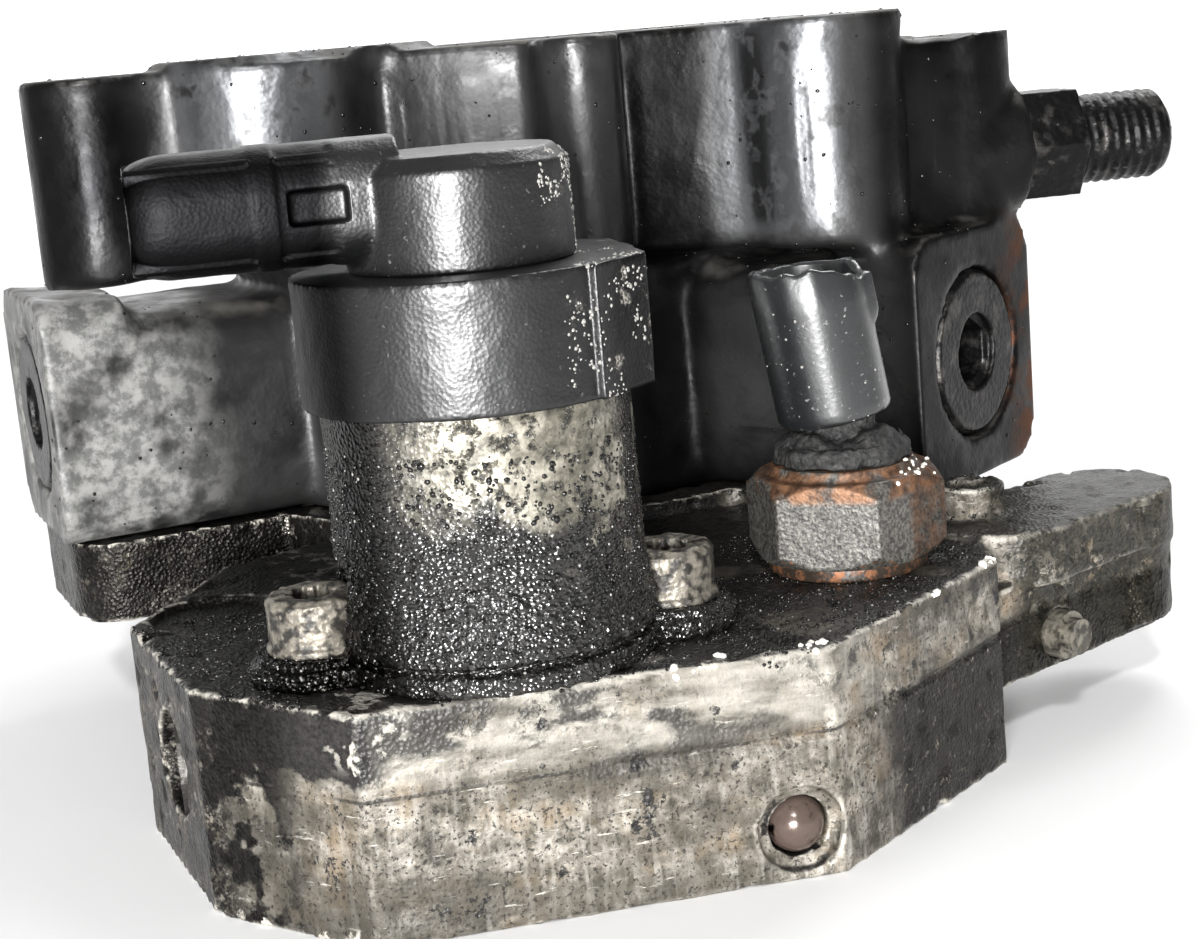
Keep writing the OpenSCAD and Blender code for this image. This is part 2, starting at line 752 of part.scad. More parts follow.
module valve_cap() {
  socket_z = collar_top_z + 1.2;
  socket_h = 12.4;
  color([0.09, 0.09, 0.09]) at_valve() difference() {
    union() {
      translate([0, 0, collar_top_z]) cylinder(r = cap_r, h = cap_h - 1.5);
      translate([0, 0, cap_top_z - 1.6]) cylinder(r1 = cap_r, r2 = cap_r - 1.5, h = 1.6);
      translate([0, 0, collar_top_z - 6]) cylinder(r = 10.97, h = 7);
      translate([-6, 0, socket_z + socket_h / 2]) rotate([90, 0, -90])
        linear_extrude(socket_left - 6) rounded(15, socket_h, 4.5);
      translate([-18.5, 0, socket_z + socket_h / 2]) rotate([90, 0, -90])
        linear_extrude(2.2) rounded(16.4, socket_h + 1.2, 5);
      translate([-20, -5.5, cap_top_z - 0.5]) cube([14, 11, 1.9]);
    }
    translate([-socket_left + 13, 0, socket_z + socket_h / 2]) rotate([90, 0, -90])
      linear_extrude(20) rounded(12, socket_h - 3, 3.2);
    translate([-17.5, -9, socket_z + 4.6]) cube([6, 4, 3.4]);
    translate([0, 0, collar_top_z - 7]) cylinder(r = 9, h = 5);
  }
}

module valve_terminals() {
  color([0.72, 0.62, 0.4]) at_valve() for (y = [-2.5, 2.5])
    translate([-socket_left + 5, y - 0.4, collar_top_z + 6.2]) cube([8, 0.8, 2.6]);
}

module coil_bobbin() {
  color([0.2, 0.16, 0.12]) at_valve() {
    tube(7, 5.7, valve_floor_z + 0.1, 52);
    tube(coil_r - 0.2, 5.7, valve_floor_z + 0.1, valve_floor_z + 1.3);
    tube(coil_r - 0.2, 5.7, 50.8, 52);
  }
}

module coil_winding() {
  color([0.6, 0.3, 0.15]) at_valve() tube(coil_r - 0.8, 7.02, valve_floor_z + 1.4, 50.7);
}

module pole_piece() {
  color([0.6, 0.6, 0.62]) at_valve() {
    translate([0, 0, 46.4]) cylinder(r = 5.6, h = 6);
    translate([0, 0, 52.1]) cylinder(r = coil_r - 0.05, h = 5.8);
  }
}

module armature() {
  color([0.65, 0.65, 0.67]) at_valve() {
    translate([0, 0, 36]) cylinder(r = 5.3, h = 10);
    translate([0, 0, 22.4]) cylinder(r = 1.25, h = 14);
  }
}

module metering_piston() {
  color([0.75, 0.75, 0.77]) at_valve() difference() {
    translate([0, 0, 11.4]) cylinder(r = 3.5, h = 11);
    translate([0, 0, 10]) cylinder(r = 2.2, h = 8);
    translate([-6, -0.9, 14]) cube([12, 1.8, 2.5]);
  }
}

module metering_sleeve() {
  color([0.68, 0.68, 0.7]) at_valve() difference() {
    tube(6.58, 3.56, 9.2, 22.9);
    translate([-9, -1.2, 12.5]) cube([18, 2.4, 2]);
  }
}

module metering_spring() {
  color([0.5, 0.5, 0.52]) at_valve() translate([0, 0, 5.05])
    coil(2.75, 0.4, 6.3, 4, per_turn = 12, sides = 5);
}

// ---- temperature sensor ----

module at_sensor() {
  translate([sensor_x, sensor_y, 0]) children();
}

module sensor_body() {
  color([0.55, 0.42, 0.25]) at_sensor() {
    translate([0, 0, 10]) cylinder(r = 5.96, h = 17);
    intersection() {
      translate([0, 0, block_z + 1.5]) rotate([0, 0, 30]) hexagon(sensor_af, 10);
      union() {
        translate([0, 0, block_z + 3]) cylinder(r = 12, h = 7);
        translate([0, 0, block_z + 1.4]) cylinder(r1 = 10, r2 = 11.8, h = 1.7);
        translate([0, 0, block_z + 9.9]) cylinder(r1 = 11.6, r2 = 10, h = 1.7);
      }
    }
    translate([0, 0, block_z + 11]) cylinder(r1 = 9, r2 = 8.3, h = 1.6);
  }
}

module sensor_washer() {
  color([0.5, 0.32, 0.2]) at_sensor() tube(9.3, 6, block_z, block_z + 1.5);
}

module sensor_boot() {
  color([0.1, 0.1, 0.1]) at_sensor() {
    translate([0, 0, block_z + 12.6]) cylinder(r = 7.8, h = 1.8);
    translate([0, 0, block_z + 14.4]) cylinder(r1 = 7.8, r2 = 5.6, h = 2);
    translate([0, 0, block_z + 16]) cylinder(r = 4, h = 3);
  }
}

module lean() {
  at_sensor() translate([-0.5, 0, block_z + 17.8]) rotate([0, -shroud_lean, 0]) children();
}

module sensor_shroud() {
  color([0.08, 0.08, 0.09]) lean() difference() {
    union() {
      cylinder(r = shroud_r, h = 18.5);
      for (a = [-24, 24]) rotate([0, 0, a]) translate([shroud_r - 1, -0.8, 10]) cube([2, 1.6, 8.5]);
    }
    translate([0, 0, 4]) cylinder(r = shroud_r - 1.3, h = 20);
  }
}

module sensor_terminals() {
  color([0.72, 0.62, 0.4]) lean() for (x = [-2.2, 2.2])
    translate([x - 0.4, -1.2, 4]) cube([0.8, 2.4, 9]);
}

pump_housing();
plunger_lobes();
mounting_flange();
lobe_plugs();
plug_seals();
plungers();
plunger_feet();
plunger_springs();
valve_seats();
suction_valve_front();
suction_valve_left();
suction_valve_back();
suction_springs();
front_bush();
rear_bush();
thrust_washer();
shaft_seal();
seal_circlip();
drive_shaft();
feed_coupling();
feed_drive_gear();
feed_driven_gear();
gear_pin();
cam_ring();
ring_bush();
end_cover();
cover_screws();
cover_seal();
feed_cover();
feed_cover_screws();
ball_plug();
arm_bolt();
overflow_plug();
overflow_piston();
overflow_spring();
inlet_stub();
return_stub();
outlet_fitting();
outlet_ball();
outlet_spring();
valve_body();
valve_screws();
valve_seals();
valve_collar();
valve_cap();
valve_terminals();
coil_bobbin();
coil_winding();
pole_piece();
armature();
metering_piston();
metering_sleeve();
metering_spring();
sensor_body();
sensor_washer();
sensor_boot();
sensor_shroud();
sensor_terminals();
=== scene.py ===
"""Looks of an oily radial fuel pump with a metering valve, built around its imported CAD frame.

Lengths are millimetres, turned into Blender's metres by MM. The shaft axis is x = y = 0.
"""
import json
import math
from itertools import accumulate
from random import Random

import bmesh
import bpy
from mathutils import Matrix, Vector, noise

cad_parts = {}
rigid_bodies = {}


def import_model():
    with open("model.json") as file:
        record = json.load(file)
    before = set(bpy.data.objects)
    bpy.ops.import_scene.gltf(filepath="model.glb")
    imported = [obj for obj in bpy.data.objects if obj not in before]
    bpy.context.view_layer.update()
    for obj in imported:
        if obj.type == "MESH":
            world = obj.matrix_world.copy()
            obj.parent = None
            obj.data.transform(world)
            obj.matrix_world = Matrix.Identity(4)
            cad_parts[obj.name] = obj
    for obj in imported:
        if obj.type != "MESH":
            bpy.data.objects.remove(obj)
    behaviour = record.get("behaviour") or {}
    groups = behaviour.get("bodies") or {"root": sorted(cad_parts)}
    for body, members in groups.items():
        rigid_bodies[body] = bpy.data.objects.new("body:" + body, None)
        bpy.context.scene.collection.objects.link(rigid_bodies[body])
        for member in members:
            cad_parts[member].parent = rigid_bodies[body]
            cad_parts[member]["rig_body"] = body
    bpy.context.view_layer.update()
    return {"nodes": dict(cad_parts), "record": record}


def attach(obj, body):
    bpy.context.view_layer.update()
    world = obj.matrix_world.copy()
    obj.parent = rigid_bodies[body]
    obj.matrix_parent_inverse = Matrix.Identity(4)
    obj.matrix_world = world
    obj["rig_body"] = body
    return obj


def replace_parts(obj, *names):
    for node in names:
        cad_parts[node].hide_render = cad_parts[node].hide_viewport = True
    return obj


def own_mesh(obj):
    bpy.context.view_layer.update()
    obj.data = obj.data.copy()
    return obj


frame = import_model()

MM = 0.001
SLOT_OF = {row["node"]: row["material_slot"] for row in frame["record"]["subparts"]}

# Places on the object that several looks share
BLOCK_TOP = 25
STEP_Z = 15.85
VALVE = Vector((-23, -96, 0))
SENSOR = Vector((21.3, -81.2, 0))
FITTING_AXIS = (-42, 68.5)
THREAD_FROM = 69.1
LOBE_TURNS = [math.radians(a) for a in (41.5, -78.5, 161.5)]
LOBE_REACH = 74
DRUM_R = 42
SEAT_Z = 27
FLANGE_Z = 60
FACE_Z = 88
PILOT_R = 30
ARM_FADE = (39, 43)     # over these x the looks of the cover's block give way to its arm's


# ---- camera, floor and light ----

CAMERA_PLACE = Vector((-54, -312, 89))
CAMERA_YAW = math.radians(11.4)
CAMERA_PITCH = math.radians(11.8)
CAMERA_ROLL = math.radians(-4.9)
FOCAL_RATIO = 2119 / 1200
SENSOR_WIDTH = 36.0
WALL_Y = 2.6


def make_camera():
    """A little above the block's front, turned to the right and rolled."""
    flat = math.cos(CAMERA_PITCH)
    forward = Vector((math.sin(CAMERA_YAW) * flat, math.cos(CAMERA_YAW) * flat,
                      -math.sin(CAMERA_PITCH)))
    level = Vector((math.cos(CAMERA_YAW), -math.sin(CAMERA_YAW), 0))
    upright = level.cross(forward)
    right = math.cos(CAMERA_ROLL) * level + math.sin(CAMERA_ROLL) * upright
    up = math.cos(CAMERA_ROLL) * upright - math.sin(CAMERA_ROLL) * level
    data = bpy.data.cameras.new("camera")
    data.sensor_fit = "HORIZONTAL"
    data.sensor_width = SENSOR_WIDTH
    data.lens = SENSOR_WIDTH * FOCAL_RATIO
    data.clip_start = 0.01
    camera = bpy.data.objects.new("camera", data)
    bpy.context.scene.collection.objects.link(camera)
    turn = Matrix((right, up, -forward)).transposed()
    camera.matrix_world = Matrix.Translation(CAMERA_PLACE * MM) @ turn.to_4x4()
    bpy.context.scene.camera = camera


def make_light(name, kind, place, energy, size, target=(0, -0.05, 0.05)):
    """A light at place, in metres, aimed at target or at the middle of the object."""
    data = bpy.data.lights.new(name, kind)
    data.energy = energy
    if kind == "AREA":
        data.shape = "RECTANGLE"
        data.size, data.size_y = size
    else:
        data.angle = size
    light = bpy.data.objects.new(name, data)
    light.visible_camera = False
    light.location = place
    aim = Vector(target) - light.location
    light.rotation_euler = aim.to_track_quat("-Z", "Y").to_euler()
    bpy.context.scene.collection.objects.link(light)


def make_stage():
    """A pale floor that turns up into a pale wall, a pale world, and the view transform."""
    half, wall_top, bend = 4.0, 3.0, 0.5
    profile = [(-half, 0.0), (WALL_Y - bend, 0.0)]
    profile += [(WALL_Y - bend + bend * math.sin(a), bend - bend * math.cos(a))
                for a in (math.pi / 2 * i / 12 for i in range(1, 13))]
    profile.append((WALL_Y, wall_top))
    points = [(x, y, z) for y, z in profile for x in (-half, half)]
    faces = [(2 * i, 2 * i + 1, 2 * i + 3, 2 * i + 2) for i in range(len(profile) - 1)]
    mesh = bpy.data.meshes.new("floor")
    mesh.from_pydata(points, [], faces)
    mesh.shade_smooth()
    floor = bpy.data.objects.new("floor", mesh)
    bpy.context.scene.collection.objects.link(floor)
    paint = bpy.data.materials.new("floor")
    paint.use_nodes = True
    shader = paint.node_tree.nodes["Principled BSDF"]
    shader.inputs["Base Color"].default_value = (0.86, 0.86, 0.86, 1)
    shader.inputs["Roughness"].default_value = 0.9
    mesh.materials.append(paint)
    world = bpy.data.worlds.new("world")
    world.use_nodes = True
    sky = world.node_tree.nodes["Background"]
    sky.inputs["Color"].default_value = (1, 1, 1, 1)
    sky.inputs["Strength"].default_value = 0.28
    bpy.context.scene.world = world
    bpy.context.scene.view_settings.view_transform = "Standard"


def make_lights():
    """A soft sun, a low lamp from the front, one from behind and one for the wall."""
    make_light("key", "SUN", (-0.3, -1.0, 0.95), 1.3, math.radians(6))
    make_light("strip", "AREA", (-0.23, -0.71, 0.085), 11.5, (0.18, 0.17))
    make_light("rim", "AREA", (0.35, 0.4, 0.7), 4, (0.4, 0.4))
    make_light("wall", "AREA", (0, 1.2, 1.3), 45, (2.0, 1.0), (0, WALL_Y, 0.6))


# ---- material kit ----

class Look:
    """A procedural material whose coordinates are millimetres in the object's own frame."""

    def __init__(self, name):
        self.mat = bpy.data.materials.new(name)
        self.mat.use_nodes = True
        self.nodes = self.mat.node_tree.nodes
        self.links = self.mat.node_tree.links
        self.shader = self.nodes["Principled BSDF"]
        self.coords = self.put("TexCoord").outputs["Object"]
        axes = self.put("SeparateXYZ", Vector=self.coords)
        self.x, self.y, self.z = (self.math("MULTIPLY", axes.outputs[a], 1000) for a in "XYZ")
        geometry = self.put("NewGeometry")
        self.point = geometry.outputs["Pointiness"]
        self.up = self.put("SeparateXYZ", Vector=geometry.outputs["Normal"]).outputs["Z"]

    def put(self, kind, **inputs):
        node = self.nodes.new("ShaderNode" + kind)
        for name, value in inputs.items():
            self.feed(node.inputs[name.replace("_", " ")], value)
        return node

    def feed(self, socket, value):
        if isinstance(value, bpy.types.NodeSocket):
            self.links.new(value, socket)
        elif isinstance(value, tuple) and len(value) == 3 and socket.type == "RGBA":
            socket.default_value = (*value, 1)
        else:
            socket.default_value = value

    def scaled(self, size, stretch=(1, 1, 1), shift=0):
        node = self.put("Mapping", Vector=self.coords, Location=(shift, shift, shift))
        node.inputs["Scale"].default_value = [1000 / size / s for s in stretch]
        return node.outputs[0]

    def noise(self, size, detail=3, stretch=(1, 1, 1), shift=0, rough=0.55, warp=0.0):
        """Noise with features of about size millimetres."""
        node = self.put("TexNoise", Vector=self.scaled(size, stretch, shift), Scale=1.0,
                        Detail=float(detail), Roughness=rough, Distortion=warp)
        return node.outputs[0]

    def cells(self, size, shift=0):
        """Distance to the nearest of many random points about size millimetres apart."""
        node = self.put("TexVoronoi", Vector=self.scaled(size, shift=shift), Scale=1.0)
        return node.outputs["Distance"]

    def mask(self, value, low, high):
        """0 below low and 1 above high, or the other way round where low is the higher one."""
        node = self.put("MapRange", Value=value)
        node.interpolation_type = "SMOOTHSTEP"
        ends = (low, high, 0.0, 1.0) if low < high else (high, low, 1.0, 0.0)
        for name, end in zip(("From Min", "From Max", "To Min", "To Max"), ends):
            node.inputs[name].default_value = end
        return node.outputs[0]

    def math(self, operation, a, b=0.0):
        node = self.put("Math")
        node.operation = operation
        self.feed(node.inputs[0], a)
        self.feed(node.inputs[1], b)
        return node.outputs[0]

    def both(self, *masks):
        total = masks[0]
        for other in masks[1:]:
            total = self.math("MULTIPLY", total, other)
        return total

    def either(self, *masks):
        total = masks[0]
        for other in masks[1:]:
            total = self.math("MAXIMUM", total, other)
        return total

    def mix(self, amount, a, b):
        node = self.put("Mix")
        node.data_type = "RGBA"
        self.feed(node.inputs[0], amount)
        self.feed(node.inputs[6], a)
        self.feed(node.inputs[7], b)
        return node.outputs[2]

    def level(self, amount, a, b):
        """A number that goes from a to b with amount."""
        node = self.put("Mix")
        self.feed(node.inputs[0], amount)
        self.feed(node.inputs[2], a)
        self.feed(node.inputs[3], b)
        return node.outputs[0]

    def shades(self, value, *stops):
        ramp = self.put("ValToRGB", Fac=value)
        points = ramp.color_ramp.elements
        while len(points) < len(stops):
            points.new(0.5)
        for point, (place, colour) in zip(points, stops):
            point.position = place
            point.color = (*colour, 1)
        return ramp.outputs[0]

    def finish(self, colour, rough, metal=0.0, bumps=(), **fixed):
        """bumps are (height, depth in millimetres) pairs, laid one over the other."""
        self.feed(self.shader.inputs["Base Color"], colour)
        self.feed(self.shader.inputs["Roughness"], rough)
        self.feed(self.shader.inputs["Metallic"], metal)
        for name, value in fixed.items():
            self.feed(self.shader.inputs[name.replace("_", " ")], value)
        normal = None
        for height, depth in bumps:
            bump = self.put("Bump", Height=height, Distance=depth * MM, Strength=1.0)
            if normal:
                self.links.new(normal, bump.inputs["Normal"])
            normal = bump.outputs[0]
        if normal:
            self.links.new(normal, self.shader.inputs["Normal"])
        return self.mat


TAR = (0.008, 0.0075, 0.007)
SOOT = (0.022, 0.02, 0.018)
DUST = (0.30, 0.28, 0.24)
RUST = (0.14, 0.055, 0.025)


def cast_iron():
    """Black oily sand casting with a bare mounting face, and with rust at the far right.

    Dust lies on top faces. Dust and painted light grey the left lobe. Bands of painted shade on
    the front reflect little, and the front columns carry a painted sheen.
    """
    k = Look("cast_iron")
    patches = k.noise(14, 5, shift=3)
    fine = k.noise(1.6, 4)
    base = k.mix(k.mask(patches, 0.35, 0.65), (0.004, 0.004, 0.0045), (0.013, 0.0127, 0.0125))
    leftward = k.mask(k.x, -44, -58)
    below_flange = k.mask(k.z, 61, 58)
    # Dust and painted light grey the left lobe below the flange in patches.
    dust_and_painted_light = k.both(leftward, below_flange, k.mask(k.noise(9, 5, shift=9), 0.36, 0.56))
    dust_and_light_grey = k.mix(k.mask(k.noise(2.4, 6, shift=19, rough=0.7), 0.4, 0.62),
                 (0.07, 0.07, 0.066), (0.21, 0.208, 0.198))
    base = k.mix(dust_and_painted_light, base, dust_and_light_grey)
    lip = k.both(k.mask(k.up, 0.5, 0.85), k.mask(k.noise(6, 5, shift=5), 0.4, 0.68))
    base = k.mix(k.both(lip, 0.4), base, (0.16, 0.15, 0.13))
    machined = k.both(k.mask(k.z, FACE_Z - 0.35, FACE_Z - 0.2), k.mask(k.up, 0.9, 0.97))
    bare = k.both(machined, k.mask(k.noise(9, 5, shift=13), 0.62, 0.45))
    base = k.mix(bare, base, (0.15, 0.147, 0.14))
    edge = k.both(k.mask(k.point, 0.53, 0.6), k.mask(k.noise(4, 4, shift=1), 0.45, 0.6))
    base = k.mix(k.both(edge, 0.6), base, (0.2, 0.19, 0.18))
    rusty = k.both(k.mask(k.x, 52, 64), k.mask(k.noise(5, 5, shift=7), 0.42, 0.6),
                   k.mask(k.z, 62, 57))
    base = k.mix(rusty, base, RUST)
    gloss = k.level(k.mask(k.noise(7, 4, shift=2), 0.35, 0.6), 0.3, 0.46)
    rough = k.level(k.either(lip, rusty, k.both(dust_and_painted_light, 0.4)), gloss, 0.75)
    in_front = k.mask(k.y, 0, -10)
    # Dark metallic bands on the front that reflect little: painted shade.
    painted_shade = k.either(k.both(k.mask(k.x, -50, -57), k.mask(k.z, 60, 62)), k.mask(k.x, 33, 37),
                     k.both(k.mask(k.x, 3, 8), k.mask(k.x, 18, 15)))
    painted_shade = k.both(painted_shade, in_front, 0.85)
    # Lighter, shinier metal on the front columns and at the flange's left: a painted sheen.
    painted_sheen = k.either(k.both(k.mask(k.x, 16, 20), k.mask(k.x, 32, 28)),
                      k.both(k.mask(k.x, -50, -46), k.mask(k.x, -28, -33)))
    painted_sheen = k.both(painted_sheen, in_front, k.mask(k.z, 60, 64), k.mask(k.noise(3, 5), 0.3, 0.5))
    base = k.mix(k.both(painted_sheen, k.level(lip, 1.0, 0.3)), base, (0.12, 0.122, 0.126))
    rough = k.level(painted_sheen, rough, 0.4)
    return k.finish(base, rough, k.either(k.both(bare, 0.7), painted_shade, painted_sheen),
                    bumps=[(k.noise(6, 3), 0.2), (fine, 0.035), (k.cells(0.6), 0.015)],
                    Specular_IOR_Level=0.48)


def cast_aluminium():
    """Weathered beige casting under black tar and dirt, with bright worn edges, an oily arm,
    painted shade at its sides and groove, and a painted highlight on the front.
    """
    k = Look("cast_aluminium")
    grain = k.noise(0.8, 5, rough=0.7)
    cloud = k.noise(11, 6, stretch=(1.6, 1.6, 0.8), shift=4)
    metal = k.shades(k.noise(3.2, 6, shift=2, rough=0.7),
                     (0.32, (0.022, 0.02, 0.015)), (0.43, (0.075, 0.067, 0.052)),
                     (0.53, (0.175, 0.158, 0.132)), (0.66, (0.38, 0.355, 0.31)))
    warm = k.mask(k.noise(7, 4, shift=8), 0.5, 0.68)
    metal = k.mix(k.both(warm, 0.55), metal, (0.23, 0.165, 0.1))
    streaks = k.mask(k.noise(2.4, 5, stretch=(0.35, 0.35, 4), shift=1), 0.48, 0.7)
    low = k.level(k.mask(k.z, 6, 2), 0.3, 0.75)
    metal = k.mix(k.both(streaks, low), metal, (0.42, 0.4, 0.365))
    zones = k.mask(k.noise(15, 6, stretch=(2, 2, 0.5), shift=31, rough=0.65), 0.56, 0.4)
    metal = k.mix(k.both(zones, 0.75), metal, (0.06, 0.053, 0.041))
    specks = k.mask(k.noise(0.5, 4, shift=6, rough=0.7), 0.55, 0.61)
    metal = k.mix(k.both(specks, 0.9), metal, (0.016, 0.0145, 0.012))
    scuffs = k.mask(k.noise(1.6, 6, stretch=(3, 3, 0.5), shift=33, rough=0.75), 0.62, 0.67)
    metal = k.mix(k.both(scuffs, 0.7), metal, (0.5, 0.48, 0.43))
    # A lighter band high on the front: a painted highlight.
    pale = k.both(k.mask(k.z, 16, 18), k.mask(k.y, -105, -109),
                  k.mask(k.noise(4, 5, stretch=(2, 2, 0.6), shift=44), 0.3, 0.66))
    metal = k.mix(k.both(pale, 0.6), metal, (0.4, 0.38, 0.335))
    on_top = k.mask(k.up, 0.55, 0.8)
    upper = k.both(k.mask(k.z, 13, 20), k.mask(k.x, 12, -8))
    clinging = k.both(k.mask(cloud, 0.5, 0.56), k.level(upper, 0.3, 0.9))
    torn = k.math("ADD", k.z, k.math("MULTIPLY", k.noise(4, 5, shift=21, rough=0.7), 7))
    strip = k.both(k.mask(torn, 24.6, 25.2), k.mask(k.z, 24.4, 23.9),
                   k.mask(k.noise(9, 6, shift=22, rough=0.7), 0.5, 0.58), 0.85)
    left_tar = k.both(k.mask(torn, 20.5, 21.5), k.mask(k.x, -35, -40), k.mask(k.x, -56, -50))
    blotches = k.mask(k.noise(6, 6, shift=12, rough=0.7), 0.6, 0.64)
    behind = k.both(k.mask(k.y, -74, -58), k.mask(k.y, -15, -35))
    grime_and_shade = k.either(clinging, blotches, strip, left_tar,
                     k.both(behind, k.mask(cloud, 0.3, 0.42)),
                     k.both(k.mask(k.x, -51, -55), k.mask(grain, 0.38, 0.55)))
    # The lower right facet, the ear and the left end are darkened with dirt and with painted
    # shade.
    right_side = k.both(k.mask(k.x, 12, 20), k.mask(k.z, 17, 15), k.mask(k.y, -50, -60), 0.95)
    grime_and_shade = k.either(grime_and_shade, k.both(right_side, k.mask(grain, 0.26, 0.46)))
    ear = k.both(k.mask(k.y, -66, -60), k.mask(k.x, -30, -36))
    grime_and_shade = k.either(grime_and_shade, k.both(ear, k.mask(grain, 0.3, 0.5)))
    left_end = k.mask(k.x, -44, -50)
    grime_and_shade = k.either(grime_and_shade, k.both(left_end, k.mask(k.noise(5, 6, shift=41), 0.46, 0.54)))
    # A dark line along the step's groove: painted shade.
    groove = k.math("ABSOLUTE", k.math("SUBTRACT", k.z, STEP_Z))
    groove = k.both(k.mask(groove, 0.3, 0.1), k.mask(k.noise(6, 4, shift=23), 0.35, 0.6), 0.8)
    grime_and_shade = k.either(grime_and_shade, groove)
    on_arm = k.mask(k.x, *ARM_FADE)
    arm = k.both(on_arm, k.mask(k.noise(3, 6, shift=17, rough=0.7), 0.62, 0.52))
    worn = k.both(k.mask(k.point, 0.515, 0.56),
                  k.mask(k.noise(2.6, 6, shift=3, rough=0.75), 0.42, 0.52))
    worn = k.both(worn, k.level(on_arm, 1.0, 0.35))
    bare = k.math("SUBTRACT", 1.0, k.mask(k.noise(10, 4, shift=14), 0.58, 0.7))
    grime_and_shade = k.either(grime_and_shade, arm, k.both(on_top, k.level(k.mask(k.x, 34, 44), bare, 0.9)))
    grime_and_shade = k.both(grime_and_shade, k.math("SUBTRACT", 1.0, k.both(worn, 0.9)))
    film = k.mix(k.mask(grain, 0.4, 0.6), TAR, SOOT)
    olive = k.mix(k.mask(grain, 0.4, 0.6), (0.008, 0.0075, 0.006), (0.03, 0.028, 0.02))
    film = k.mix(on_arm, film, olive)
    colour = k.mix(grime_and_shade, metal, film)
    chips = k.both(k.mask(k.noise(3.4, 5, shift=27, rough=0.6), 0.56, 0.6),
                   k.mask(k.z, 18, 21), k.mask(k.x, -34, -37), k.mask(k.x, -45, -42), 0.55)
    colour = k.mix(k.both(k.either(worn, chips), 0.8), colour, (0.55, 0.52, 0.46))
    rough = k.level(grime_and_shade, k.level(grain, 0.38, 0.62), k.level(k.noise(2, 3), 0.22, 0.5))
    metallic = k.both(k.math("SUBTRACT", 1.0, grime_and_shade), 0.3)
    # These darkened faces are made metallic so they reflect little: painted shade.
    metallic = k.either(metallic, k.both(k.either(right_side, ear, left_end), grime_and_shade, 0.85))
    return k.finish(colour, rough, metallic,
                    bumps=[(k.noise(2.2, 5, shift=2), 0.12), (grain, 0.09),
                           (k.math("MULTIPLY", grime_and_shade, k.cells(0.5)), 0.14)],
                    Specular_IOR_Level=0.32)


def valve_metal():
    """Dull plated steel, clean at the top and buried in tar lower down."""
    k = Look("valve_metal")
    grain = k.noise(0.7, 4, rough=0.7)
    metal = k.shades(k.noise(4, 6, shift=5, rough=0.7), (0.36, (0.03, 0.028, 0.022)),
                     (0.48, (0.17, 0.157, 0.123)), (0.6, (0.38, 0.355, 0.295)))
    front = k.mask(k.x, -36, -27)
    away = k.mask(k.x, -8, -15)
    wave = k.math("ADD", k.z, k.math("MULTIPLY", k.noise(8, 4, shift=2), 16))
    clean = k.both(k.mask(wave, 49, 54), front, away)
    flecks = k.both(k.mask(k.noise(5, 5, shift=8), 0.53, 0.6), 0.8)
    clean = k.either(clean, k.both(flecks, k.mask(k.z, 34, 40), k.mask(k.x, -22, -12)))
    clean = k.both(clean, k.mask(k.noise(1.6, 6, shift=3, rough=0.75), 0.36, 0.5))
    tar = k.mix(k.mask(grain, 0.45, 0.7), (0.003, 0.0028, 0.0026), (0.02, 0.0185, 0.016))
    colour = k.mix(clean, tar, metal)
    rough = k.level(clean, k.level(grain, 0.14, 0.3), k.level(grain, 0.3, 0.55))
    beads = k.math("MULTIPLY", k.math("SUBTRACT", 1.0, clean), k.cells(0.5))
    shaded = k.both(k.mask(k.x, -33, -37), k.math("SUBTRACT", 1.0, clean), 0.9)
    return k.finish(colour, rough, k.either(k.both(clean, 0.5), shaded),
                    bumps=[(k.noise(1.8, 4), 0.08), (beads, 0.22), (grain, 0.05)],
                    Specular_IOR_Level=0.7)


def black_plastic():
    """Moulded grained plastic under an oil film, with grey powder stuck to one side, and with
    painted shade on the connector barrel and the right side.
    """
    k = Look("black_plastic")
    grain = k.cells(0.42)
    fine = k.noise(0.35, 3)
    powder = k.both(k.mask(k.x, -17, -8), k.mask(k.noise(3.4, 6, shift=6, rough=0.75), 0.56, 0.66))
    flecks = k.mask(k.noise(0.5, 2, shift=3), 0.68, 0.74)
    colour = k.mix(k.noise(6, 4), (0.002, 0.0021, 0.0023), (0.005, 0.005, 0.0053))
    colour = k.mix(k.both(flecks, 0.35), colour, (0.2, 0.2, 0.2))
    colour = k.mix(powder, colour, k.mix(k.mask(fine, 0.45, 0.55), (0.05, 0.05, 0.05), DUST))
    film = k.level(k.noise(3, 3, shift=1), 0.33, 0.42)
    # The connector barrel is dark and metallic so it reflects little: painted shade.
    barrel = k.mask(k.x, VALVE.x - 11, VALVE.x - 15)
    film = k.level(barrel, film, k.level(k.noise(2, 4, shift=8), 0.4, 0.55))
    rough = k.level(powder, film, 0.85)
    colour = k.mix(barrel, colour, (0.008, 0.008, 0.0085))
    # The right side is metallic so it reflects little: painted shade.
    side = k.both(k.mask(k.x, -14, -9), k.math("SUBTRACT", 1.0, powder), 0.8)
    return k.finish(colour, rough, k.either(barrel, side),
                    bumps=[(grain, 0.028), (fine, 0.01), (powder, 0.12)],
                    Specular_IOR_Level=0.62)


def shroud_plastic():
    k = Look("shroud_plastic")
    specks = k.mask(k.noise(0.6, 2, shift=3), 0.66, 0.72)
    colour = k.mix(k.noise(4, 4), (0.004, 0.0045, 0.005), (0.009, 0.01, 0.011))
    colour = k.mix(k.both(specks, 0.6), colour, (0.22, 0.22, 0.21))
    rough = k.level(k.noise(2.5, 4, shift=4), 0.24, 0.38)
    return k.finish(colour, rough, 0.0, bumps=[(k.noise(0.9, 3), 0.03), (k.cells(0.5), 0.012)],
                    Specular_IOR_Level=0.8, Coat_Weight=1.0, Coat_Roughness=0.3)


def rubber():
    k = Look("rubber")
    cracks = k.noise(1.4, 6, rough=0.75, warp=1.0)
    colour = k.mix(k.mask(cracks, 0.42, 0.62), (0.008, 0.008, 0.008), (0.035, 0.034, 0.033))
    return k.finish(colour, k.level(cracks, 0.35, 0.65), 0.0,
                    bumps=[(cracks, 0.3), (k.cells(0.6), 0.1)], Specular_IOR_Level=0.35)


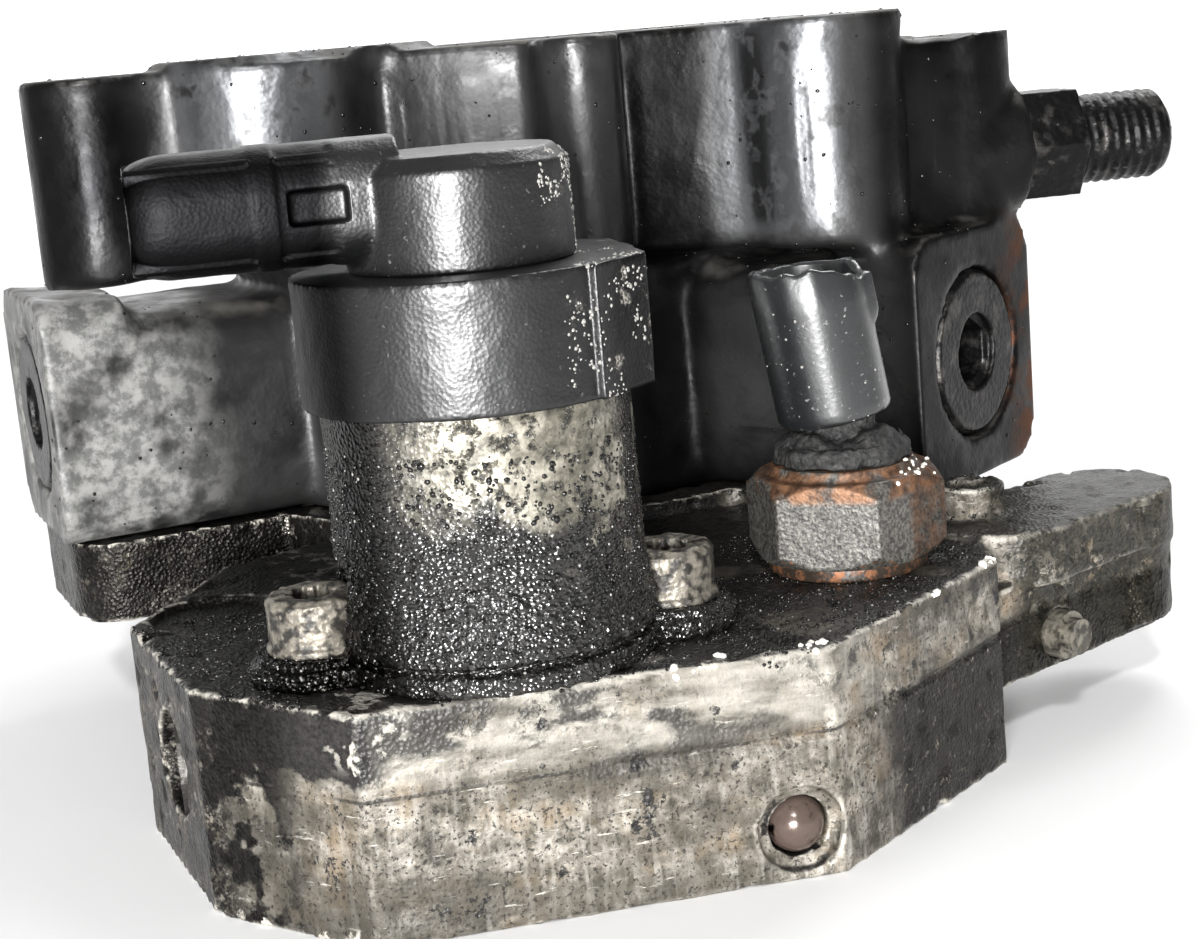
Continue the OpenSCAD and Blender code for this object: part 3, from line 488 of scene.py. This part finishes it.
def sensor_brass():
    """Bronze hexagon: soot-covered flats, a coppery crust on the chamfer and on one flat, and
    painted shade on the flat at the right.
    """
    k = Look("sensor_brass")
    grain = k.noise(0.45, 5, rough=0.7)
    soot = k.mix(k.mask(grain, 0.4, 0.62), (0.028, 0.026, 0.024), (0.12, 0.114, 0.1))
    copper = k.mix(k.mask(k.noise(1.6, 5, shift=3, rough=0.7), 0.35, 0.65),
                   (0.04, 0.02, 0.011), (0.2, 0.1, 0.052))
    chamfer = k.both(k.mask(k.z, 34, 35), k.mask(k.noise(4, 4, shift=7), 0.42, 0.54))
    right_flat = k.both(k.mask(k.x, 25.2, 27), k.mask(k.noise(2.4, 5, shift=4), 0.36, 0.55), 0.55)
    edges = k.both(k.mask(k.point, 0.53, 0.58), 0.75)
    bright = k.either(chamfer, right_flat, edges)
    colour = k.mix(bright, soot, copper)
    rough = k.level(bright, 0.36, 0.5)
    # The flat at the right is made metallic so it looks darker: painted shade.
    painted_shade_flat = k.both(k.mask(k.x, 25.2, 27), 0.8)
    return k.finish(colour, rough, k.either(k.level(bright, 0.25, 0.4), painted_shade_flat),
                    bumps=[(grain, 0.06), (k.cells(0.4), 0.03)])


def worn_metal(name, dark, light, low, high, grit=0.06, rough=(0.25, 0.5), metal=0.8, size=2.5,
               film_metal=0.32):
    """Metal whose worn patches, light, show through a film, dark."""
    k = Look(name)
    grain = k.noise(0.5, 4, rough=0.7)
    bare = k.mask(k.noise(size, 5, shift=2), low, high)
    bare = k.either(bare, k.mask(k.point, 0.54, 0.6))
    colour = k.mix(bare, dark, light)
    return k.finish(colour, k.level(grain, *rough), k.level(bare, film_metal, metal),
                    bumps=[(grain, grit), (k.cells(0.8), grit)])


def turned_metal(name, tint, rough=0.25, metal=1.0):
    """Clean machined metal of the inner parts, with fine turning marks and oil stains."""
    k = Look(name)
    marks = k.noise(0.25, 2, stretch=(6, 6, 0.6))
    stain = k.mask(k.noise(5, 4, shift=2), 0.4, 0.7)
    darker = tuple(c * 0.6 for c in tint)
    return k.finish(k.mix(stain, tint, darker), k.level(stain, rough, rough + 0.15), metal,
                    bumps=[(marks, 0.01)])


def sooty_copper():
    """A copper washer that has sat in oil and soot."""
    k = Look("sooty_copper")
    bare = k.mask(k.noise(1.8, 5, shift=5, rough=0.7), 0.5, 0.62)
    colour = k.mix(bare, (0.025, 0.018, 0.013), (0.2, 0.085, 0.04))
    return k.finish(colour, k.level(bare, 0.4, 0.55), k.level(bare, 0.2, 0.6),
                    bumps=[(k.noise(0.6, 4), 0.06)])


def crumb_look(name, tint, rough):
    k = Look(name)
    return k.finish(k.mix(k.noise(1.2, 3), tuple(c * 0.6 for c in tint), tint), rough, 0.0,
                    bumps=[(k.noise(0.3, 3), 0.05)])


LOOKS = {
    "cast_iron": cast_iron(),
    "cast_aluminium": cast_aluminium(),
    "valve_metal": valve_metal(),
    "black_plastic": black_plastic(),
    "shroud_plastic": shroud_plastic(),
    "rubber": rubber(),
    "sensor_brass": sensor_brass(),
    # The plug's film is almost fully metallic so it reflects little: painted shade.
    "plug_steel": worn_metal("plug_steel", (0.013, 0.013, 0.0135), (0.06, 0.056, 0.052), 0.5, 0.7,
                             film_metal=0.9),
    "screw_steel": worn_metal("screw_steel", (0.022, 0.02, 0.017), (0.22, 0.2, 0.165), 0.4, 0.62,
                              grit=0.1, rough=(0.3, 0.55), metal=0.6, size=1.3),
    "ball_steel": worn_metal("ball_steel", (0.09, 0.065, 0.055), (0.16, 0.12, 0.1), 0.45, 0.6,
                             grit=0.015, rough=(0.12, 0.28), metal=1.0),
    "steel": turned_metal("steel", (0.56, 0.56, 0.57)),
    "spring_steel": turned_metal("spring_steel", (0.4, 0.4, 0.42), 0.3),
    "bearing": turned_metal("bearing", (0.55, 0.4, 0.2), 0.35),
    "copper": turned_metal("copper", (0.55, 0.25, 0.13), 0.4),
    "terminal": turned_metal("terminal", (0.7, 0.6, 0.38), 0.3),
}
for node_name, node in frame["nodes"].items():
    node.data.materials.clear()
    node.data.materials.append(LOOKS[SLOT_OF[node_name]])


# ---- mesh kit ----

def new_piece(name, mesh, slot, body, look=None):
    """A finished mesh as a piece of the object."""
    piece = bpy.data.objects.new(name, mesh)
    bpy.context.scene.collection.objects.link(piece)
    mesh.materials.clear()
    mesh.materials.append(look or LOOKS[slot])
    mesh.shade_smooth()
    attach(piece, body)
    return piece


def applied(mesh, prepare):
    """The mesh after the modifiers that prepare(holder) adds, as a new mesh."""
    holder = bpy.data.objects.new("holder", mesh)
    bpy.context.scene.collection.objects.link(holder)
    prepare(holder)
    bpy.context.view_layer.update()
    result = bpy.data.meshes.new_from_object(
        holder.evaluated_get(bpy.context.evaluated_depsgraph_get()))
    bpy.data.objects.remove(holder)
    bpy.data.meshes.remove(mesh)
    return result


def merged(node_names, seam):
    """One mesh of several nodes.

    seam(name, place) may move a corner so that neighbours overlap.
    """
    body = bmesh.new()
    for name in node_names:
        mesh = frame["nodes"][name].data.copy()
        for vertex in mesh.vertices:
            vertex.co = seam(name, vertex.co / MM) * MM
        body.from_mesh(mesh)
        bpy.data.meshes.remove(mesh)
    bmesh.ops.remove_doubles(body, verts=body.verts, dist=0.001 * MM)
    mesh = bpy.data.meshes.new(node_names[0])
    body.to_mesh(mesh)
    body.free()
    return mesh


def remeshed(mesh, voxel, rounds, keep=1.0, loose=None):
    """The mesh as one even skin, its edges rounded by rounds of smoothing.

    loose(place) says how far smoothing may act there, from 0 to 1.
    """
    def add_skin(holder):
        skin = holder.modifiers.new("skin", "REMESH")
        skin.mode = "VOXEL"
        skin.voxel_size = voxel * MM

    def add_softening(holder):
        soften = holder.modifiers.new("soften", "SMOOTH")
        soften.factor = 0.5
        soften.iterations = rounds
        if loose:
            group = holder.vertex_groups.new(name="loose")
            for vertex in holder.data.vertices:
                group.add([vertex.index], loose(vertex.co / MM), "REPLACE")
            soften.vertex_group = "loose"
        if keep < 1:
            holder.modifiers.new("thin", "DECIMATE").ratio = keep

    return applied(applied(mesh, add_skin), add_softening)


def shift_skin(mesh, move):
    """Moves each vertex by move(place, normal), which takes and returns millimetres."""
    normals = [v.normal.copy() for v in mesh.vertices]
    for vertex, normal in zip(mesh.vertices, normals):
        place = vertex.co / MM
        vertex.co = (place + move(place, normal)) * MM
    mesh.update()


def lumps(place, size, seed=0.0):
    """Noise from about -0.5 to 0.5 with bumps of about size millimetres."""
    return noise.noise(place / size + Vector((seed, seed, seed)))


def unmoved(_, place):
    return place


def reworked(node_names, voxel, rounds, move, keep=1.0, loose=None, seam=unmoved, look=None):
    """Replaces CAD nodes of one casting or moulding by their remeshed and reshaped copy."""
    mesh = remeshed(merged(node_names, seam), voxel, rounds, keep, loose)
    shift_skin(mesh, move)
    first = node_names[0]
    body = frame["nodes"][first]["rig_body"]
    piece = new_piece(first + "_skin", mesh, SLOT_OF[first], body, look)
    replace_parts(piece, *node_names)
    return piece


# ---- castings ----

def iron_seam(name, place):
    """Lets the lobes reach into the drum and the flange sink onto both, as one casting."""
    radius = math.hypot(place.x, place.y)
    if name == "plunger_lobes" and abs(radius - DRUM_R) < 0.1:
        return Vector((place.x * 0.96, place.y * 0.96, place.z))
    if name == "mounting_flange" and abs(place.z - FLANGE_Z) < 0.1:
        return place - Vector((0, 0, 1))
    return place


def along_lobe(place):
    """How far out along the nearest lobe a place is."""
    return max(place.x * math.sin(a) - place.y * math.cos(a) for a in LOBE_TURNS)


def iron_loose(place):
    """Machined faces keep their edges, and the rest has a sand casting's wide fillets."""
    if place.z < SEAT_Z + 1 or place.z > FACE_Z - 0.4 or place.xy.length < PILOT_R + 3:
        return 0.06
    return 0.06 if along_lobe(place) > LOBE_REACH - 1.5 else 1.0


def iron_surface(place, normal):
    """Hand-fettled sand casting between its flat machined faces."""
    swell = 0.5 * lumps(place, 11) + 0.12 * lumps(place, 2.5, 5) - 0.2
    for room in (FACE_Z - 0.4 - place.z, place.z - SEAT_Z - 0.4,
                 LOBE_REACH - 1 - along_lobe(place), place.xy.length - PILOT_R - 1):
        swell *= min(1.0, max(0.0, room / 3))
    return normal * swell


def cover_surface(place, normal):
    """Die casting with dents, chipped edges and a machined step around its front."""
    out = 0.14 * lumps(place, 5, 2) + 0.1 * lumps(place, 1.6, 7)
    pit = lumps(place, 2.6, 21)
    if pit > 0.32:
        out -= (pit - 0.32) * 1.6
    if place.y < -40 and abs(normal.z) < 0.5 and place.x > -16 and abs(place.z - STEP_Z) < 0.35:
        out -= 0.3
    if normal.z > 0.5 and place.z > BLOCK_TOP - 1:
        out += 0.35 * max(0.0, lumps(place, 2.2, 31))
    return normal * (out - 0.08)


def valve_surface(place, normal):
    """Tar gathers in grains towards the foot of the valve."""
    low = min(1.0, max(0.0, (48 - place.z) / 14))
    grains = max(0.0, lumps(place, 0.8, 3)) + 0.5 * max(0.0, lumps(place, 2.4, 8))
    return normal * (low * 0.42 * grains + 0.12 * lumps(place, 4))


def plastic_surface(place, normal):
    """The slight waviness of a worn moulding or forging."""
    return normal * (0.08 * lumps(place, 5, 4) + 0.04 * lumps(place, 1.4, 6) - 0.04)


CONNECTOR_END = VALVE.x - 33
CONNECTOR_ROUNDING = 4.5
CONNECTOR_MIDDLE = 74.0
CONNECTOR_HALF_Y = 7.5
CONNECTOR_HALF_Z = 6.2


def cap_surface(place, normal):
    """Grained moulding whose connector is an oval barrel with a rounded outer end."""
    move = plastic_surface(place, normal)
    across = (place.y - VALVE.y) / CONNECTOR_HALF_Y
    up = (place.z - CONNECTOR_MIDDLE) / CONNECTOR_HALF_Z
    if place.x > VALVE.x - 13 or max(abs(across), abs(up)) < 0.85:
        return move
    oval = (abs(across) ** 2.7 + abs(up) ** 2.7) ** (1 / 2.7)
    inward = Vector((0, VALVE.y - place.y, CONNECTOR_MIDDLE - place.z))
    move += inward * 0.75 * max(0.0, 1 - 1 / max(1.0, oval))
    near_end = max(0.0, (CONNECTOR_END + CONNECTOR_ROUNDING - place.x) / CONNECTOR_ROUNDING)
    if near_end > 0:
        move += inward.normalized() * 2.0 * (1 - math.sqrt(1 - min(1.0, near_end) ** 2))
    return move


def hexagon_surface(place, normal):
    return normal * (0.05 * lumps(place, 2.2, 4) + 0.02 * lumps(place, 0.8, 6) - 0.03)


def screw_surface(place, normal):
    crust = max(0.0, lumps(place, 1.2, 12)) if place.z > 32 else 0.0
    return normal * (0.25 * crust + 0.06 * lumps(place, 1.0, 2) - 0.04)


def boot_surface(place, normal):
    """Perished rubber, torn open at its upper left."""
    flat = place - SENSOR
    ragged = 0.45 * lumps(place, 2.6, 3) + 0.25 * lumps(place, 1.0, 6)
    sunk = 0.0
    if place.z > BLOCK_TOP + 15:
        tear = max(0.0, math.sin(3 * math.atan2(flat.y, flat.x) + 1))
        sunk = 1.1 * tear + 0.6 * max(0.0, lumps(place, 1.5, 8))
    return normal * ragged - Vector((0, 0, sunk))


THREAD_PITCH = 1.5
THREAD_DEPTH = 0.5


def fitting_surface(place, normal):
    """A screw thread cut into the outer end."""
    y, z = place.y - FITTING_AXIS[0], place.z - FITTING_AXIS[1]
    radius = math.hypot(y, z)
    if place.x < THREAD_FROM or radius < 4.6:
        return normal * (0.08 * lumps(place, 1.2) - 0.03)
    turn = (place.x / THREAD_PITCH - math.atan2(z, y) / math.tau) % 1.0
    ridge = min(1.0, abs(turn - 0.5) * 2.6)
    wear = 0.6 + 0.4 * lumps(place, 2.5, 7)
    return Vector((0, y, z)) / radius * (-THREAD_DEPTH * ridge * wear)


IRON_SKIN = reworked(["pump_housing", "plunger_lobes", "mounting_flange"], 0.7, 30, iron_surface,
                     keep=0.5, loose=iron_loose, seam=iron_seam)
COVER_SKIN = reworked(["end_cover"], 0.45, 2, cover_surface, keep=0.4)
VALVE_SKIN = reworked(["valve_body"], 0.3, 3, valve_surface, keep=0.8)
COLLAR_SKIN = reworked(["valve_collar"], 0.35, 2, plastic_surface, keep=0.7)
CAP_SKIN = reworked(["valve_cap"], 0.3, 3, cap_surface, keep=0.6)
reworked(["valve_screws"], 0.18, 2, screw_surface)
reworked(["lobe_plugs"], 0.3, 2, plastic_surface, keep=0.6)
HEX_SKIN = reworked(["sensor_body"], 0.2, 1, hexagon_surface)
reworked(["sensor_washer"], 0.2, 1, hexagon_surface, look=sooty_copper())
reworked(["sensor_boot"], 0.25, 2, boot_surface)
reworked(["outlet_fitting"], 0.2, 1, fitting_surface, keep=0.7)


# ---- springs of the valves, one piece for each ----

SUCTION_JOINTS = ("suction_front_lift", "suction_left_lift", "suction_back_lift")
JOINTS = {joint["name"]: joint for joint in frame["record"]["behaviour"]["joints"]}


def spring(node_name, joint_name, mine=lambda place: True):
    """The part of a spring node that is mine, as a piece with a mesh of its own."""
    coil = bmesh.new()
    coil.from_mesh(frame["nodes"][node_name].data)
    others = [v for v in coil.verts if not mine(v.co)]
    bmesh.ops.delete(coil, geom=others, context="VERTS")
    mesh = bpy.data.meshes.new(joint_name)
    coil.to_mesh(mesh)
    coil.free()
    piece = new_piece(joint_name + "_spring", mesh, "spring_steel", "pump")
    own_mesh(piece)
    return piece


def suction_spring(joint_name):
    """The one of the three suction springs that lies on this joint's side of the shaft."""
    outward = {name: -Vector(JOINTS[name]["axis"]) for name in SUCTION_JOINTS}
    return spring("suction_springs", joint_name, lambda place: joint_name == max(
        SUCTION_JOINTS, key=lambda name: outward[name].dot(place)))


for joint in SUCTION_JOINTS:
    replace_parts(suction_spring(joint), "suction_springs")
for node_name, joint in (("outlet_spring", "outlet_check_lift"),
                         ("overflow_spring", "overflow_slide"),
                         ("metering_spring", "metering_slide")):
    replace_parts(spring(node_name, joint), node_name)


# ---- connector shroud, broken off at its upper edge ----

SHROUD_LEAN = math.radians(9)
SHROUD_FOOT = SENSOR + Vector((-0.5, 0, BLOCK_TOP + 17.8))
SHROUD_R = 6.6
SHROUD_BORE = 5.3
SHROUD_H = 18.5
SHROUD_FLOOR = 4.0
RIM_POINTS = 144
RAIL_H = 0.9


def rim_height(turn):
    """The broken edge: high at the back left, chipped at the right, ragged all round."""
    tilt = 0.7 * math.cos(turn - math.radians(200))
    chip = 1.6 * max(0.0, math.cos(turn - math.radians(-35))) ** 6
    ragged = 0.5 * noise.noise(Vector((3 * math.cos(turn), 3 * math.sin(turn), 4)))
    return SHROUD_H - 0.9 + tilt - chip + ragged


def shroud_mesh():
    """Rings from the outer foot up over the broken rim and down to the inner floor."""
    place = Matrix.Translation(SHROUD_FOOT) @ Matrix.Rotation(-SHROUD_LEAN, 4, "Y")
    outer = [(SHROUD_R - 0.5, 0.0), (SHROUD_R - 0.15, 0.15), (SHROUD_R, 0.6)]
    outer += [(SHROUD_R, 0.6 + 0.9 * i) for i in range(1, 15)]
    inner = [(SHROUD_BORE, 13.0 - 1.5 * i) for i in range(7)] + [(SHROUD_BORE, SHROUD_FLOOR)]
    points, faces = [], []
    for turn in (math.tau * i / RIM_POINTS for i in range(RIM_POINTS)):
        top = rim_height(turn)
        wavy = 0.12 * noise.noise(Vector((math.cos(turn), math.sin(turn), 0)) * 2)
        # Two latch rails run down the side that faces right
        rail = max((math.exp(-((turn - math.radians(a) + math.pi) % math.tau - math.pi) ** 2
                             / 0.012) for a in (-24, 24)))
        column = []
        for radius, height in outer:
            swell = RAIL_H * rail * min(1.0, max(0.0, (height - 9.5) / 1.5))
            column.append((radius + wavy + swell, height))
        swell = RAIL_H * rail
        column += [(SHROUD_R + swell + wavy, top - 0.5), (SHROUD_R + swell - 0.15, top - 0.12),
                   (SHROUD_R + 0.5 * swell - 0.45, top), (SHROUD_BORE + 0.35, top - 0.05),
                   (SHROUD_BORE, top - 0.4)] + inner
        for radius, height in column:
            spot = Vector((radius * math.cos(turn), radius * math.sin(turn), height))
            points.append((place @ spot) * MM)
    rings = len(column)
    for i in range(RIM_POINTS):
        here, there = i * rings, (i + 1) % RIM_POINTS * rings
        faces += [(here + j, there + j, there + j + 1, here + j + 1) for j in range(rings - 1)]
    faces.append([i * rings for i in reversed(range(RIM_POINTS))])
    faces.append([i * rings + rings - 1 for i in range(RIM_POINTS)])
    mesh = bpy.data.meshes.new("sensor_shroud")
    mesh.from_pydata(points, [], faces)
    mesh.update()
    return mesh


SHROUD_SKIN = new_piece("sensor_shroud_skin", shroud_mesh(), "shroud_plastic", "pump")
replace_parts(SHROUD_SKIN, "sensor_shroud")


# ---- beads of oil, tar and crumbs ----

def pebble():
    """Corners and faces of a rough unit ball."""
    ball = bmesh.new()
    bmesh.ops.create_icosphere(ball, subdivisions=1, radius=1)
    corners = [v.co.copy() for v in ball.verts]
    faces = [[v.index for v in f.verts] for f in ball.faces]
    ball.free()
    return corners, faces


PEBBLE = pebble()


def scatter(name, piece, count, sizes, where, look, slot, seed, flat=0.6):
    """Little pebbles on a piece's skin wherever where(place, normal) allows them."""
    draw = Random(seed)
    mesh = piece.data
    mesh.calc_loop_triangles()
    spots = []
    for triangle in mesh.loop_triangles:
        place = triangle.center / MM
        if where(place, triangle.normal):
            spots.append(triangle)
    weights = list(accumulate(t.area for t in spots))
    points, faces = [], []
    corners, sides = PEBBLE
    for spot in draw.choices(spots, cum_weights=weights, k=count):
        a, b, c = (mesh.vertices[i].co for i in spot.vertices)
        u, v = sorted((draw.random(), draw.random()))
        place = a * u + b * (v - u) + c * (1 - v)
        size = draw.uniform(*sizes) * draw.uniform(0.5, 1.0) * MM
        turn = spot.normal.to_track_quat("Z", "Y").to_matrix()
        spin = Matrix.Rotation(draw.uniform(0, math.tau), 3, "Z")
        squeeze = Vector((draw.uniform(0.7, 1.2), draw.uniform(0.7, 1.2), flat))
        first = len(points)
        for corner in corners:
            shape = Vector(corner[i] * squeeze[i] for i in range(3)) * draw.uniform(0.85, 1.15)
            points.append(place + turn @ (spin @ shape) * size)
        faces += [[first + i for i in side] for side in sides]
    beads = bpy.data.meshes.new(name)
    beads.from_pydata(points, [], faces)
    beads.update()
    return new_piece(name, beads, slot, "pump", look)


TAR_BEAD = crumb_look("tar_bead", (0.008, 0.0075, 0.007), 0.16)
GREY_BEAD = crumb_look("grey_bead", (0.3, 0.29, 0.27), 0.25)
WHITE_CRUMB = crumb_look("white_crumb", (0.85, 0.82, 0.74), 0.8)


def on_tar(place, normal):
    """The valve's foot and the flat part around it."""
    return place.z < 49 and (place - VALVE).xy.length > 13 and normal.z > -0.3


def on_block_top(place, normal):
    near = place.y < -62 and place.z > BLOCK_TOP - 1.5 and normal.z > 0.4
    return near and (place.x < 45) and lumps(place, 9, 3) > -0.12


def on_block_rim(place, normal):
    """White crumbs along the front and right edges of the block's top."""
    if place.z < BLOCK_TOP - 1.6 or normal.z < 0.1:
        return False
    front = -8 < place.x < 9 and place.y < -109.5 and lumps(place, 5, 40) > 0.1
    outward = place.x * 0.64 - place.y * 0.77
    right = 9 < place.x < 38 and outward > 90.5 and lumps(place, 4, 41) > 0.22
    return front or right


def on_hexagon(place, normal):
    flat = place - SENSOR
    return place.z > BLOCK_TOP + 9.5 and normal.z > 0.2 and flat.x > 3 and flat.y < 2


def on_shroud(place, normal):
    low = place.z < SHROUD_FOOT.z + 6 and place.x > SENSOR.x + 1
    return (low and lumps(place, 3, 5) > 0) or lumps(place, 4, 9) > 0.3


def on_powder(place, normal):
    """The grey patches at the right of the collar and cap."""
    return place.x > VALVE.x + 7 and place.y < VALVE.y + 6 and lumps(place, 4.5, 6) > 0.18


def on_iron_front(place, normal):
    return place.y < -20 and normal.y < 0.2 and place.z > 29


scatter("tar_grains", VALVE_SKIN, 5200, (0.2, 0.42), on_tar, TAR_BEAD, "rubber", 1)
scatter("tar_glints", VALVE_SKIN, 700, (0.1, 0.24), on_tar, GREY_BEAD, "rubber", 2)
scatter("block_grains", COVER_SKIN, 4200, (0.16, 0.4), on_block_top, TAR_BEAD, "rubber", 3)
scatter("block_glints", COVER_SKIN, 500, (0.1, 0.25), on_block_top, GREY_BEAD, "rubber", 4)
scatter("rim_crumbs", COVER_SKIN, 32, (0.25, 0.75), on_block_rim, WHITE_CRUMB, "cast_aluminium", 5,
        flat=0.85)
scatter("hexagon_crumbs", HEX_SKIN, 34, (0.2, 0.5), on_hexagon, WHITE_CRUMB, "cast_aluminium", 6,
        flat=0.85)
scatter("shroud_crumbs", SHROUD_SKIN, 70, (0.12, 0.3), on_shroud, GREY_BEAD, "rubber", 7)
scatter("collar_powder", COLLAR_SKIN, 520, (0.12, 0.34), on_powder, GREY_BEAD, "rubber", 8)
scatter("cap_powder", CAP_SKIN, 460, (0.12, 0.34), on_powder, GREY_BEAD, "rubber", 9)
scatter("iron_drops", IRON_SKIN, 700, (0.15, 0.4), on_iron_front, TAR_BEAD, "rubber", 10)


make_camera()
make_stage()
make_lights()
